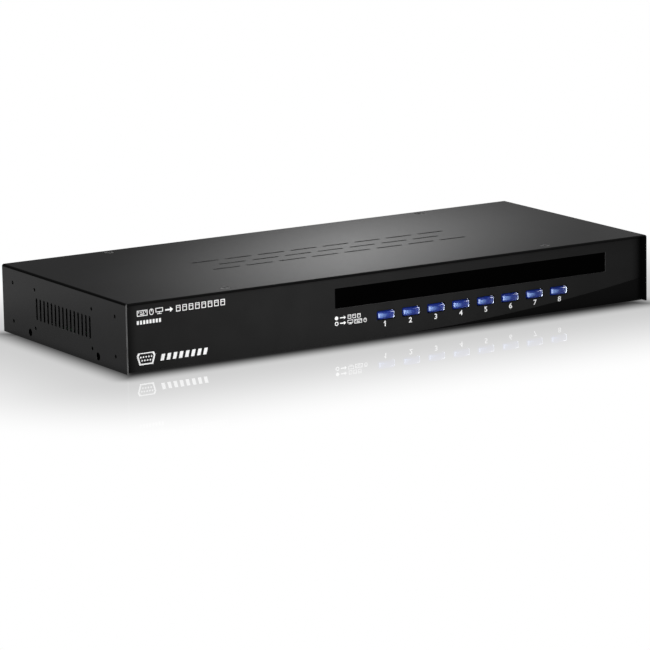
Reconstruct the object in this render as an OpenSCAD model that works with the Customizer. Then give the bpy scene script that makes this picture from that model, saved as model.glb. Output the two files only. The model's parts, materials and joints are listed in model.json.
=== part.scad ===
/* [Case] */
// Width across the outside of the cover
body_w = 390; // [386:1:430]
// Depth from the cover's front edge to its rear edge
body_d = 165; // [165:1:200]
// Height of the case above its feet, one rack unit
body_h = 44; // [43.5:0.5:46]
// Thickness of the folded steel sheet
sheet = 1; // [0.8:0.1:1.2]
// Outside radius of the cover's two long bends
bend_r = 1.5; // [1.3:0.1:3]
// Depth of the front panel behind the cover's front edge
panel_recess = 4; // [3:0.5:6]
// Depth of the rear wall behind the cover's rear edge
rear_recess = 1; // [0:0.5:2]
// Gap between the cover and the pan inside it
fit_gap = 0.3; // [0.2:0.05:0.4]
// Height of the rubber feet
foot_h = 2; // [1.5:0.5:6]
// Radius of the rubber feet
foot_r = 6; // [5:0.5:9]

/* [Cover openings] */
// Number of slots in each side vent
side_slots = 15; // [5:1:15]
// Distance between side slots
side_slot_pitch = 5.08; // [4:0.02:5.08]
// Height of a side slot
side_slot_l = 14.4; // [8:0.2:16]
// Width of a side slot
side_slot_w = 2.4; // [1.5:0.1:2.6]
// Height of the side slots' middle above the case bottom
side_slot_z = 21.8; // [20:0.1:24]
// Number of slots in the front row of the top vent; every second row has one less
top_slots = 8; // [4:1:8]
// Distance between slots in a row
top_slot_pitch = 24.5; // [23:0.5:24.5]
// Length of a top slot
top_slot_l = 20; // [10:0.5:21]
// Width of a top slot
top_slot_w = 2.4; // [2:0.1:2.6]
// Number of rows in the top vent
top_rows = 3; // [1:1:4]
// Distance between rows
top_row_pitch = 13.5; // [6:0.5:14]
// Distance of the top vent's middle behind the cover's front edge
top_vent_y = 79.6; // [70:0.1:90]

/* [Rack ear holes] */
// Radius of the tapped M3 holes
ear_hole_r = 1.25; // [1.2:0.05:1.4]
// Front to rear distance between the outer holes
ear_outer_span = 136.5; // [130:0.5:140]
// Front to rear distance between the inner holes
ear_inner_span = 76; // [74:0.5:78]
// Height of the lower holes above the case bottom
ear_low_z = 9; // [9:0.5:10]
// Height between the lower and the upper holes
ear_span_z = 25; // [20:0.5:26]

/* [Front panel] */
// Thickness of the printed overlay
overlay_t = 0.5; // [0.3:0.1:0.6]
// Width of the display window
window_w = 208; // [150:1:210]
// Height of the display window
window_h = 13; // [8:0.5:13]
// Sideways place of the window's middle
window_x = 60.7; // [55:0.1:62]
// Height of the window's middle above the case bottom
window_z = 28.6; // [28:0.1:29]
// Number of ports and of select buttons
ports = 8; // [8:1:8]
// Distance between buttons
button_pitch = 19; // [17:0.1:19]
// Sideways place of the first button
first_button_x = -5.8; // [-7:0.1:0]
// Height of the buttons' middle above the case bottom
button_z = 14; // [13:0.1:14.2]
// Width of a button
button_w = 12.3; // [10:0.1:13]
// Height of a button
button_h = 5; // [4.5:0.1:5.4]
// Height of a button's crown above the panel
button_proud = 2; // [1:0.1:2.5]
// Travel of a button
button_travel = 0.5; // [0.2:0.05:0.6]

/* [Rear sockets] */
// Sideways place of the first computer port
first_port_x = -62.5; // [-63:0.5:-60]
// Distance between computer ports
port_pitch = 32.5; // [32:0.1:33]
// Sideways place of the console video port
console_x = -101; // [-104:0.5:-98]
// Sideways place of the stacked keyboard and mouse sockets
ps2_x = -131; // [-133:0.5:-129]
// Sideways place of the stacked USB sockets
usb_x = -153; // [-155:0.5:-151]
// Sideways place of the power jack
jack_x = -173; // [-175:0.5:-171]
// Width of a video socket's shell at its wide side
shell_w = 16.9; // [16.5:0.1:17]
// Height of a video socket's shell
shell_h = 7.9; // [7.6:0.1:8.1]
// Length of the shell from its flange to its rim
shell_l = 6; // [5.5:0.1:6.2]
// Distance between a video socket's two jackscrews
jackscrew_span = 24.99; // [24.9:0.01:25.1]

/* [Hidden] */
$fn = 48;
// How far a cutting shape runs past the face it cuts
past = 1;

// Planes of the case: the origin is under the middle of the whole object
port_proud = shell_l - sheet - rear_recess;
front_y = -(body_d + port_proud) / 2;
rear_y = front_y + body_d;
panel_y = front_y + panel_recess;
wall_y = panel_y + overlay_t;
back_y = rear_y - rear_recess;
floor_z = foot_h;
deck_z = floor_z + sheet;
top_z = floor_z + body_h;
inner_w = body_w - 2 * (sheet + fit_gap);
wall_h = body_h - sheet - fit_gap;
middle_y = body_d / 2;

// Cover fixings
collar_r = 2.3;
collar_h = 1.2;
tab_w = 9;
tab_h = 9;
tab_hole_r = 1.65;
side_hole_r = 2.5;
side_hole_z = 5.2;
side_hole_span = 91;
cover_screw_x = 120;
flange_w = 10;
cover_screw_y = [8.5, body_d - 6];
head_r = 3.2;
head_h = 1.6;
seat_gap = 0.2;
seat_h = 1.75;
tap_r = 1.3;
shank_r = 1.25;

// Button stack, as distances behind the panel's face
cap_gap = 0.6;
cap_wall_gap = 0.3;
cap_corner = 1.2;
cap_lip = 1.5;
crown_wide = 1.5 * button_w;
crown_high = 3 * button_h;
cap_flange_y = overlay_t + sheet + 0.3;
cap_flange_t = 0.8;
cap_boss_y = cap_flange_y + cap_flange_t;
plunger_y = cap_boss_y + 0.8;
plate_y = plunger_y + button_travel + 0.3;
plate_t = 0.2;
housing_y = plate_y + plate_t;
housing_t = 3;
housing_w = 6;
bore_t = 2.5;
plunger_r = 1.7;
plunger_gap = 0.05;
dome_t = 0.2;
button_board_y = housing_y + housing_t;
board_t = 1.6;
button_board_w = 235;
button_board_h = 34;
button_board_z = 24.5;
board_post_x = 112.5;
board_post_z = 13.5;
lens_gap = 0.3;
lens_lip = 2.5;
lens_t = 1;
led_r = 1.5;
led_rise = 3;
led_l = 2.6;

// Main board
standoff_h = 5;
standoff_r = 2.8;
board_z = deck_z + standoff_h;
board_top = board_z + board_t;
board_w = 368;
board_d = 103;
board_rear = back_y - sheet - 0.5;
board_front = board_rear - board_d;
board_screw_x = [-160, 0, 160];
board_screw_y = [board_front + 6, board_rear - 24];
board_hole_r = 1.6;
pan_head_r = 2.7;
pan_head_h = 1.7;

// Video sockets
port_z = board_top + 7;
plate_thick = 0.8;
shell_t = 0.4;
shell_corner = 2.3;
slant = 10;
flange_size = [30.8, 12.5];
insert_d = 11;
insert_w = 19;
insert_rise = 5.5;
insert_setback = 0.3;
contact_pitch = 2.29;
contact_row_pitch = 1.98;
contact_stagger = 0.9;
contact_hole_l = 8;
stud_cut_l = 8;
stud_beyond = 3.5;
stud_r = 1.4;
stud_gap = 0.05;
clear_r = 1.6;
hex_r = 2.74;
hex_l = 4.8;
jack_tap_r = 1.15;
jack_tap_l = 4.5;
contact_r = 0.55;
shell_gap = 0.02;
port_xs = [for (i = [0:ports - 1]) first_port_x + i * port_pitch];
video_xs = concat(port_xs, [console_x]);

// Parts on the main board
capacitor_r = 3.15;
capacitor_h = 7.7;
buzzer_r = 6;
buzzer_h = 8.5;
buzzer_hole_r = 1.2;
buzzer_hole_deep = 1;

// Other sockets
round_floor = 6;
round_cut = 9;
groove_outer_r = 4.7;
groove_inner_r = 3.7;
pin_hole_r = 0.5;
ps2_size = [14.4, 26.4, 13];
ps2_wall = 0.3;
ps2_socket_h = 12.6;
usb_size = [13.6, 15.8, 17.5];
usb_slot = [12.5, 5.12, 9];
usb_slot_z = [4.1, 11.7];
tongue = [11.1, 1.84, 8.2];
jack_size = [9, 11, 13];
jack_z = board_top + 6.5;
jack_nose_r = 3.9;
jack_bore_r = 3.15;
jack_bore_l = 9.5;
jack_pin_r = 1.05;
proud = 0.4;

// Ribbon cable and its connectors
ribbon_x = 60;
ribbon_w = 25.4;
ribbon_t = 0.9;
header = [33, 8.8, 9];
plug = [30, 6, 9.5];
plug_in = 6.5;
front_header_y = panel_y + button_board_y + board_t;
front_header_z = floor_z + 22;
main_header_y = board_front + 14;

// Points of an arc about [x, y]
function arc(x, y, r, from, to, steps) =
    [for (i = [0:steps]) let (a = from + (to - from) * i / steps) [x + r * cos(a), y + r * sin(a)]];

// Outline of a D-shaped shell, wide side up, w wide at its top corners
function d_outline(w, h, r) =
    let (
        high = w / 2 - r * (1 + sin(slant)) / cos(slant),
        low = w / 2 - (r * (1 - sin(slant)) + h * sin(slant)) / cos(slant)
    )
    concat(
        arc(low, r - h / 2, r, -90, -slant, 6),
        arc(high, h / 2 - r, r, -slant, 90, 6),
        arc(-high, h / 2 - r, r, 90, 180 + slant, 6),
        arc(-low, r - h / 2, r, 180 + slant, 270, 6)
    );

// Outline of a strip t thick along the open path
function thicken(path, t) =
    let (
        n = len(path) - 1,
        way = [for (i = [0:n]) path[min(n, i + 1)] - path[max(0, i - 1)]],
        side = [for (v = way) [-v[1], v[0]] / norm(v) * t / 2]
    )
    concat([for (i = [0:n]) path[i] + side[i]], [for (i = [n:-1:0]) path[i] - side[i]]);

// Flat slot with round ends, l long in X
module obround(l, w, h) {
    linear_extrude(h)
    union() {
        square([l - w, w], center = true);
        for (end = [-1, 1])
            translate([end * (l - w) / 2, 0])
            circle(d = w);
    }
}

// Rectangle with four round corners
module rounded_rect(w, h, r) {
    square([w - 2 * r, h], center = true);
    square([w, h - 2 * r], center = true);
    for (x = [-1, 1], y = [-1, 1])
        translate([x * (w / 2 - r), y * (h / 2 - r)])
        circle(r = r);
}

// Box standing on its local origin
module block(size) {
    translate([-size[0] / 2, -size[1] / 2, 0])
    cube(size);
}

// Children look out of both side walls
module on_sides(y, z) {
    for (side = [-1, 1])
        translate([side * body_w / 2, front_y + y, floor_z + z])
        rotate([0, side * 90, 0])
        children();
}

// Children look out of the front panel's face
module on_front(x, z) {
    translate([x, panel_y, floor_z + z])
    rotate([90, 0, 0])
    children();
}

// Children look out of the rear wall's outer face
module on_rear(x, z) {
    translate([x, back_y, z])
    rotate([90, 0, 180])
    children();
}

// Children at every tapped rack ear hole
module at_ear_holes() {
    for (span = [ear_outer_span, ear_inner_span], end = [-1, 1], rise = [0, ear_span_z])
        on_sides(middle_y + end * span / 2, ear_low_z + rise)
        children();
}

// Children at the four larger holes low in the sides
module at_side_holes() {
    for (end = [-1, 1])
        on_sides(middle_y + end * side_hole_span / 2, side_hole_z)
        children();
}

// Children at the cover's four screws, on its top face
module at_cover_screws() {
    for (x = [-1, 1], y = cover_screw_y)
        translate([x * cover_screw_x, front_y + y, top_z])
        children();
}

// Seat for a countersunk screw: a cone and a hole below it
module screw_seat(hole_r) {
    translate([0, 0, -seat_h])
    cylinder(r1 = shank_r + seat_gap, r2 = head_r + seat_gap, h = seat_h);
    cylinder(r = head_r + seat_gap, h = past);
    translate([0, 0, -4 * sheet])
    cylinder(r = hole_r, h = 4 * sheet);
}

// Cross section of the cover: an arch with two round bends
module arch(w, h, r) {
    translate([-w / 2, 0])
    square([w, h - r]);
    translate([r - w / 2, 0])
    square([w - 2 * r, h]);
    for (end = [-1, 1])
        translate([end * (w / 2 - r), h - r])
        circle(r = r);
}

module top_cover() {
    color("#1b1b1d")
    difference() {
        union() {
            translate([0, rear_y, floor_z])
            rotate([90, 0, 0])
            linear_extrude(body_d)
            difference() {
                arch(body_w, body_h, bend_r);
                translate([0, -past])
                arch(body_w - 2 * sheet, body_h - sheet + past, bend_r - sheet);
            }
            at_ear_holes()
            translate([0, 0, -sheet - collar_h])
            cylinder(r = collar_r, h = collar_h + sheet / 2);
        }
        at_ear_holes()
        translate([0, 0, -sheet - collar_h - past])
        cylinder(r = ear_hole_r, h = sheet + collar_h + 2 * past);
        at_side_holes()
        translate([0, 0, -sheet - past])
        cylinder(r = side_hole_r, h = sheet + 2 * past);
        for (i = [0:side_slots - 1])
            on_sides(middle_y + (i - (side_slots - 1) / 2) * side_slot_pitch, side_slot_z)
            translate([0, 0, -sheet - past])
            obround(side_slot_l, side_slot_w, sheet + 2 * past);
        for (row = [0:top_rows - 1], i = [0:top_slots - 1 - row % 2])
            translate([
                (i - (top_slots - 1 - row % 2) / 2) * top_slot_pitch,
                front_y + top_vent_y + (row - (top_rows - 1) / 2) * top_row_pitch,
                top_z - sheet - past
            ])
            obround(top_slot_l, top_slot_w, sheet + 2 * past);
        at_cover_screws()
        screw_seat(clear_r);
    }
}

module base_pan() {
    color("#18181a")
    difference() {
        union() {
            translate([-inner_w / 2, wall_y, floor_z])
            cube([inner_w, back_y - wall_y, sheet]);
            for (y = [wall_y, back_y - sheet])
                translate([-inner_w / 2, y, floor_z])
                cube([inner_w, sheet, wall_h]);
            for (y = [wall_y, back_y - flange_w])
                translate([-inner_w / 2 + flange_w, y, floor_z + wall_h - sheet])
                cube([inner_w - 2 * flange_w, flange_w, sheet]);
            for (side = [-1, 1], end = [-1, 1])
                translate([
                    side * (inner_w - sheet) / 2,
                    front_y + middle_y + end * side_hole_span / 2,
                    floor_z
                ])
                block([sheet, tab_w, tab_h]);
        }
        at_side_holes()
        translate([0, 0, -3 * sheet - fit_gap])
        cylinder(r = tab_hole_r, h = 3 * sheet);
        at_cover_screws()
        screw_seat(tap_r);
        on_front(window_x, window_z)
        translate([0, 0, -3])
        linear_extrude(6)
        square([window_w, window_h], center = true);
        for (i = [0:ports - 1])
            on_front(first_button_x + i * button_pitch, button_z)
            translate([0, 0, -3])
            linear_extrude(6)
            rounded_rect(button_w + 2 * cap_wall_gap, button_h + 2 * cap_wall_gap, cap_corner);
        for (x = video_xs) {
            on_rear(x, port_z)
            translate([0, 0, -3])
            linear_extrude(6)
            polygon(d_outline(shell_w + 0.6, shell_h + 0.6, shell_corner));
            at_jackscrews(x)
            translate([0, 0, -3])
            cylinder(r = clear_r, h = 6);
        }
        on_rear(ps2_x, board_top + ps2_size[1] / 2)
        translate([0, 0, -3])
        block([ps2_size[0] + 0.6, ps2_size[1] + 0.6, 6]);
        on_rear(usb_x, board_top + usb_size[1] / 2)
        translate([0, 0, -3])
        block([usb_size[0] + 0.6, usb_size[1] + 0.6, 6]);
        on_rear(jack_x, jack_z)
        translate([0, 0, -3])
        cylinder(r = jack_nose_r + 0.2, h = 6);
    }
}

module front_overlay() {
    color("#232325")
    difference() {
        translate([-inner_w / 2, panel_y, floor_z])
        cube([inner_w, overlay_t, wall_h]);
        on_front(window_x, window_z)
        translate([0, 0, -past])
        linear_extrude(2 * past)
        square([window_w, window_h], center = true);
        for (i = [0:ports - 1])
            on_front(first_button_x + i * button_pitch, button_z)
            translate([0, 0, -past])
            linear_extrude(2 * past)
            rounded_rect(button_w + 2 * cap_gap, button_h + 2 * cap_gap, cap_corner);
    }
}

// Lens in the window's opening, with a lip behind the wall
module display_window() {
    color("#050506")
    on_front(window_x, window_z) {
        translate([0, 0, -overlay_t - sheet - lens_gap])
        linear_extrude(sheet + lens_gap)
        square([window_w - 2 * lens_gap, window_h - 2 * lens_gap], center = true);
        translate([0, 0, -overlay_t - sheet - lens_t])
        linear_extrude(lens_t)
        square([window_w + 2 * lens_lip, window_h + 2 * lens_lip - 2], center = true);
    }
}

// Button with a crowned face, a lip behind the wall and a boss on the switch
module button_cap(i) {
    color("#2a4fc4")
    on_front(first_button_x + i * button_pitch, button_z)
    union() {
        intersection() {
            translate([0, 0, -cap_boss_y])
            linear_extrude(cap_boss_y + button_proud)
            rounded_rect(button_w, button_h, cap_corner);
            translate([0, button_h, button_proud - crown_wide])
            rotate([90, 0, 0])
            cylinder(r = crown_wide, h = 2 * button_h, $fn = 96);
            translate([-button_w, 0, button_proud - crown_high])
            rotate([0, 90, 0])
            cylinder(r = crown_high, h = 2 * button_w, $fn = 96);
        }
        translate([0, 0, -cap_boss_y])
        linear_extrude(cap_flange_t)
        rounded_rect(button_w + 2 * cap_lip, button_h + 2 * cap_lip, cap_corner);
        translate([0, 0, -plunger_y])
        cylinder(r = 2, h = plunger_y - cap_boss_y);
    }
}

module switch_plunger(i) {
    color("#e8e4da")
    on_front(first_button_x + i * button_pitch, button_z)
    translate([0, 0, -housing_y - 1.2])
    cylinder(r = plunger_r, h = housing_y + 1.2 - plunger_y);
}

module switch_housings() {
    color("#151515")
    for (i = [0:ports - 1])
        on_front(first_button_x + i * button_pitch, button_z)
        translate([0, 0, -housing_y - housing_t])
        difference() {
            block([housing_w, housing_w, housing_t]);
            translate([0, 0, housing_t - bore_t])
            cylinder(r = plunger_r + plunger_gap, h = bore_t + past);
        }
}

module switch_cover_plates() {
    color("#b8babd")
    for (i = [0:ports - 1])
        on_front(first_button_x + i * button_pitch, button_z)
        translate([0, 0, -housing_y])
        difference() {
            block([housing_w, housing_w, plate_t]);
            translate([0, 0, -past])
            cylinder(r = plunger_r + 2 * plunger_gap, h = plate_t + 2 * past);
        }
}

module snap_domes() {
    color("#c8c8c4")
    for (i = [0:ports - 1])
        on_front(first_button_x + i * button_pitch, button_z)
        translate([0, 0, -housing_y - bore_t])
        union() {
            cylinder(r = plunger_r - 0.1, h = dome_t);
            cylinder(r = plunger_r / 2, h = 2 * dome_t);
        }
}

// Children at the four posts that hold the button board
module at_board_posts() {
    for (x = [-1, 1], z = [-1, 1])
        on_front(window_x + x * board_post_x, button_board_z + z * board_post_z)
        children();
}

module button_board() {
    color("#1e5a32")
    difference() {
        on_front(window_x, button_board_z)
        translate([0, 0, -button_board_y - board_t])
        block([button_board_w, button_board_h, board_t]);
        at_board_posts()
        translate([0, 0, -button_board_y - board_t - past])
        cylinder(r = clear_r, h = board_t + 2 * past);
    }
}

module button_board_standoffs() {
    color("#c9b06a")
    at_board_posts()
    translate([0, 0, -button_board_y])
    difference() {
        cylinder(r = 2.5, h = button_board_y - overlay_t - sheet);
        translate([0, 0, -past])
        cylinder(r = tap_r, h = 5 + past);
    }
}

module button_board_screws() {
    color("#9a9ca0")
    at_board_posts()
    translate([0, 0, -button_board_y - board_t])
    mirror([0, 0, 1])
    pan_screw(board_t + 4);
}

// Pan head screw, its head above z = 0 and its shank below
module pan_screw(l) {
    difference() {
        cylinder(r = pan_head_r, h = pan_head_h);
        for (turn = [0, 90])
            rotate([0, 0, turn])
            translate([0, 0, pan_head_h / 2])
            block([2.6, 0.6, pan_head_h]);
    }
    translate([0, 0, -l])
    cylinder(r = shank_r, h = l + pan_head_h / 4);
}

// Black grid that keeps each port's light apart
module light_baffle() {
    color("#101010")
    on_front(window_x, window_z)
    difference() {
        translate([0, 0, -button_board_y])
        block([window_w - 20, window_h - 1, 4]);
        for (i = [0:ports - 1])
            translate([first_button_x + i * button_pitch - window_x, 0, -button_board_y - past])
            block([9, window_h - 3, 4 + 2 * past]);
    }
}

// One lamp per port, rise above the window's middle
module led_row(rise) {
    for (i = [0:ports - 1])
        on_front(first_button_x + i * button_pitch, window_z + rise)
        translate([0, 0, -button_board_y])
        union() {
            cylinder(r = led_r + 0.3, h = 0.8);
            cylinder(r = led_r, h = led_l);
            translate([0, 0, led_l])
            sphere(r = led_r);
        }
}

module red_leds() {
    color("#c02020")
    led_row(led_rise);
}

module green_leds() {
    color("#20a040")
    led_row(-led_rise);
}

// Children at the main board's six screws, at height z
module at_board_screws(z) {
    for (x = board_screw_x, y = board_screw_y)
        translate([x, y, z])
        children();
}

module main_board() {
    color("#1e5a32")
    difference() {
        translate([-board_w / 2, board_front, board_z])
        cube([board_w, board_d, board_t]);
        at_board_screws(board_z - past)
        cylinder(r = clear_r, h = board_t + 2 * past);
    }
}

module main_board_standoffs() {
    color("#c9b06a")
    at_board_screws(deck_z)
    difference() {
        cylinder(r = standoff_r, h = standoff_h);
        translate([0, 0, past / 2])
        cylinder(r = tap_r, h = standoff_h);
    }
}

module main_board_screws() {
    color("#9a9ca0")
    at_board_screws(board_top)
    pan_screw(board_t + 4);
}

// Children at one video socket's two jackscrews
module at_jackscrews(x) {
    for (side = [-1, 1])
        on_rear(x + side * jackscrew_span / 2, port_z)
        children();
}

// Children at every video socket, on its flange's rear face
module at_video_ports() {
    for (x = video_xs)
        on_rear(x, port_z)
        translate([0, 0, -sheet - plate_thick])
        children();
}

module video_port_shells() {
    color("#b9bbbe")
    at_video_ports()
    linear_extrude(shell_l + plate_thick)
    difference() {
        polygon(d_outline(shell_w, shell_h, shell_corner));
        polygon(d_outline(shell_w - 2 * shell_t, shell_h - 2 * shell_t, shell_corner - shell_t));
    }
}

// Steel plates behind the rear wall, each with two threaded bosses
module video_port_flanges() {
    color("#a9abae")
    at_video_ports()
    difference() {
        union() {
            linear_extrude(plate_thick)
            rounded_rect(flange_size[0], flange_size[1], 1.5);
            for (side = [-1, 1])
                translate([side * jackscrew_span / 2, 0, -4])
                cylinder(r = 2.4, h = 4 + plate_thick / 2);
        }
        translate([0, 0, -past])
        linear_extrude(plate_thick + 2 * past)
        polygon(d_outline(shell_w + 2 * shell_gap, shell_h + 2 * shell_gap, shell_corner + shell_gap));
        for (side = [-1, 1])
            translate([side * jackscrew_span / 2, 0, -stud_cut_l / 2 - past])
            cylinder(r = stud_r + stud_gap, h = stud_cut_l + past);
    }
}

// Plastic bodies, each with fifteen contact holes in three rows
module video_port_inserts() {
    inner = shell_t + shell_gap;
    color("#1c3f9c")
    at_video_ports()
    difference() {
        union() {
            linear_extrude(shell_l + plate_thick - insert_setback)
            polygon(d_outline(shell_w - 2 * inner, shell_h - 2 * inner, shell_corner - inner));
            translate([-insert_w / 2, board_top - port_z, -insert_d])
            cube([insert_w, port_z - board_top + insert_rise, insert_d]);
        }
        for (row = [-1:1], i = [-2:2])
            translate([i * contact_pitch - (row == 0 ? contact_stagger : 0), row * contact_row_pitch,
                shell_l - contact_hole_l / 2])
            cylinder(r = contact_r, h = contact_hole_l, $fn = 8);
    }
}

// Hex standoff with a stud behind it and a tapped hole in its face
module jackscrews() {
    color("#c4c6c9")
    for (x = video_xs)
        at_jackscrews(x)
        difference() {
            union() {
                cylinder(r = hex_r, h = hex_l, $fn = 6);
                translate([0, 0, -sheet - plate_thick - stud_beyond])
                cylinder(r = stud_r, h = sheet + plate_thick + stud_beyond + past);
            }
            translate([0, 0, hex_l - jack_tap_l])
            cylinder(r = jack_tap_r, h = jack_tap_l + past);
        }
}

// Children at the lower and the upper round socket
module at_ps2(level) {
    on_rear(ps2_x, board_top + ps2_size[1] * (1 + 2 * level) / 4)
    children();
}

module ps2_shield() {
    color("#b9bbbe")
    difference() {
        on_rear(ps2_x, board_top + ps2_size[1] / 2)
        translate([0, 0, -ps2_size[2]])
        block([ps2_size[0], ps2_size[1], ps2_size[2] + proud]);
        for (level = [0, 1])
            at_ps2(level)
            translate([0, 0, ps2_wall - ps2_size[2]])
            block([ps2_size[0] - 2 * ps2_wall, ps2_socket_h + 0.1, ps2_size[2] + past]);
    }
}

// Six-contact round socket: a ring groove round a keyed core
module round_socket(level) {
    at_ps2(level)
    translate([0, 0, ps2_wall - ps2_size[2]])
    difference() {
        block([ps2_size[0] - 2 * ps2_wall - 0.1, ps2_socket_h, ps2_size[2] - ps2_wall + proud - 0.3]);
        translate([0, 0, round_floor])
        difference() {
            cylinder(r = groove_outer_r, h = round_cut);
            translate([0, 0, -past])
            cylinder(r = groove_inner_r, h = round_cut + 2 * past);
        }
        translate([0, 2.6, round_floor])
        block([2.2, 2.4, round_cut]);
        for (side = [-1, 1], spot = [[1.3, -2.3], [2.6, -0.4], [1.2, 1]])
            translate([side * spot[0], spot[1], round_floor])
            cylinder(r = pin_hole_r, h = round_cut, $fn = 8);
    }
}

module keyboard_socket() {
    color("#6a4a9c")
    round_socket(0);
}

module mouse_socket() {
    color("#3c9a62")
    round_socket(1);
}

// Children at one of the two stacked USB slots
module at_usb(level) {
    on_rear(usb_x, board_top + usb_slot_z[level])
    translate([0, 0, proud - usb_slot[2]])
    children();
}

module usb_shell() {
    color("#b9bbbe")
    difference() {
        on_rear(usb_x, board_top + usb_size[1] / 2)
        translate([0, 0, proud - usb_size[2]])
        block(usb_size);
        for (level = [0, 1])
            at_usb(level)
            block([usb_slot[0], usb_slot[1], usb_slot[2] + past]);
    }
}

module usb_tongues() {
    color("#e9e7e0")
    for (level = [0, 1])
        at_usb(level)
        translate([0, 0.8, 0])
        block(tongue);
}

module usb_contacts() {
    color("#d0a848")
    for (level = [0, 1], x = [-3.5, -1, 1, 3.5])
        at_usb(level)
        translate([x, 0.8 - tongue[1] / 2 - 0.1, 0.3])
        block([1, 0.2, 7.2]);
}

module power_jack_housing() {
    color("#121212")
    on_rear(jack_x, jack_z)
    difference() {
        union() {
            translate([-jack_size[0] / 2, board_top - jack_z, -sheet - jack_size[2]])
            cube([jack_size[0], jack_size[1], jack_size[2] - 0.2]);
            translate([0, 0, -sheet - past])
            cylinder(r = jack_nose_r, h = sheet + past + proud);
        }
        translate([0, 0, proud - jack_bore_l])
        cylinder(r = jack_bore_r, h = jack_bore_l + past);
    }
}

module power_jack_pin() {
    color("#c4c6c9")
    on_rear(jack_x, jack_z)
    translate([0, 0, proud - jack_bore_l])
    union() {
        cylinder(r = jack_pin_r, h = jack_bore_l - 2);
        translate([0, 0, jack_bore_l - 2])
        sphere(r = jack_pin_r);
    }
}

// Route of the flat cable from the front plug over and down to the main plug
module ribbon_cable() {
    start_y = front_header_y + header[2] + plug[2] - plug_in - 2;
    start_z = front_header_z + plug[1] / 2;
    end_y = main_header_y - plug[1] / 2;
    end_z = board_top + header[2] + plug[2] - plug_in - 2;
    lift = 4;
    lead = 2;
    bend = 6;
    high_z = start_z + lift + bend;
    drop = (high_z - end_z) / 2;
    route = concat(
        [[start_y, start_z]],
        arc(start_y + bend, start_z + lift, bend, 180, 90, 8),
        arc(end_y - lead - 2 * drop, end_z + drop, drop, 90, 0, 8),
        arc(end_y - lead, end_z + drop, drop, 180, 270, 8),
        [[end_y, end_z]]
    );
    color("#8d9096")
    translate([ribbon_x - ribbon_w / 2, 0, 0])
    rotate([90, 0, 90])
    linear_extrude(ribbon_w)
    polygon(thicken(route, ribbon_t));
}

// Children at the front header, then at the main board's header
module at_headers() {
    translate([ribbon_x, front_header_y, front_header_z])
    rotate([-90, 0, 0])
    children();
    translate([ribbon_x, main_header_y, board_top])
    children();
}

// Shrouded box header
module ribbon_headers() {
    color("#141414")
    at_headers()
    difference() {
        block(header);
        translate([0, 0, header[2] - plug_in])
        block([plug[0] + 0.4, plug[1] + 0.4, plug_in + past]);
    }
}

module ribbon_plugs() {
    color("#2a2a2c")
    at_headers()
    translate([0, 0, header[2] - plug_in])
    block(plug);
}

module microcontroller() {
    color("#202022")
    translate([-40, board_front + 30, board_top])
    block([14, 14, 1.4]);
}

module video_switch_chips() {
    color("#202022")
    for (x = port_xs)
        translate([x, board_rear - 34, board_top])
        block([9.9, 3.9, 1.5]);
}

module port_controllers() {
    color("#202022")
    for (x = port_xs)
        translate([x, board_rear - 48, board_top])
        block([7, 7, 1.4]);
}

// Tab-mounted regulator lying on the board
module voltage_regulator() {
    color("#202022")
    translate([jack_x + 8, board_rear - 40, board_top])
    union() {
        block([6.5, 6, 2.3]);
        translate([0, 3.6, 0])
        block([5.4, 1.6, 0.6]);
    }
}

module crystal() {
    color("#c0c2c4")
    translate([-56, board_front + 30, board_top])
    rotate([0, 0, 90])
    obround(11, 4.6, 3.5);
}

module electrolytic_capacitors() {
    color("#20242c")
    for (spot = [[-172, 62], [-150, 62], [-150, 76], [-100, 60], [20, 76], [150, 76]])
        translate([spot[0], board_rear - spot[1], board_top])
        cylinder(r = capacitor_r, h = capacitor_h);
}

module chip_resistors() {
    color("#2a2a2a")
    for (x = port_xs, i = [-2:2])
        translate([x + i * 3.2, board_rear - 29.5, board_top])
        block([1.25, 2, 0.5]);
}

module buzzer() {
    color("#121212")
    translate([-10, board_front + 30, board_top])
    difference() {
        cylinder(r = buzzer_r, h = buzzer_h);
        translate([0, 0, buzzer_h - buzzer_hole_deep])
        cylinder(r = buzzer_hole_r, h = 2 * buzzer_hole_deep, $fn = 12);
    }
}

module cover_screws() {
    color("#1a1a1c")
    at_cover_screws()
    difference() {
        union() {
            translate([0, 0, -head_h])
            cylinder(r1 = shank_r, r2 = head_r, h = head_h - 0.05);
            translate([0, 0, -6])
            cylinder(r = shank_r, h = 5);
        }
        for (turn = [0, 90])
            rotate([0, 0, turn])
            translate([0, 0, -1])
            block([3.4, 0.7, 2]);
    }
}

module rubber_feet() {
    color("#0e0e0e")
    for (x = [-1, 1], y = [24, body_d - 24])
        translate([x * (body_w / 2 - 24), front_y + y, 0])
        union() {
            cylinder(r1 = foot_r - 0.6, r2 = foot_r, h = foot_h / 2);
            translate([0, 0, foot_h / 2])
            cylinder(r = foot_r, h = foot_h / 2);
        }
}

// Blank sticker under the pan
module rating_label() {
    color("#c9cacc")
    translate([0, 0, floor_z - 0.15])
    linear_extrude(0.15)
    rounded_rect(80, 40, 2);
}

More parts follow.
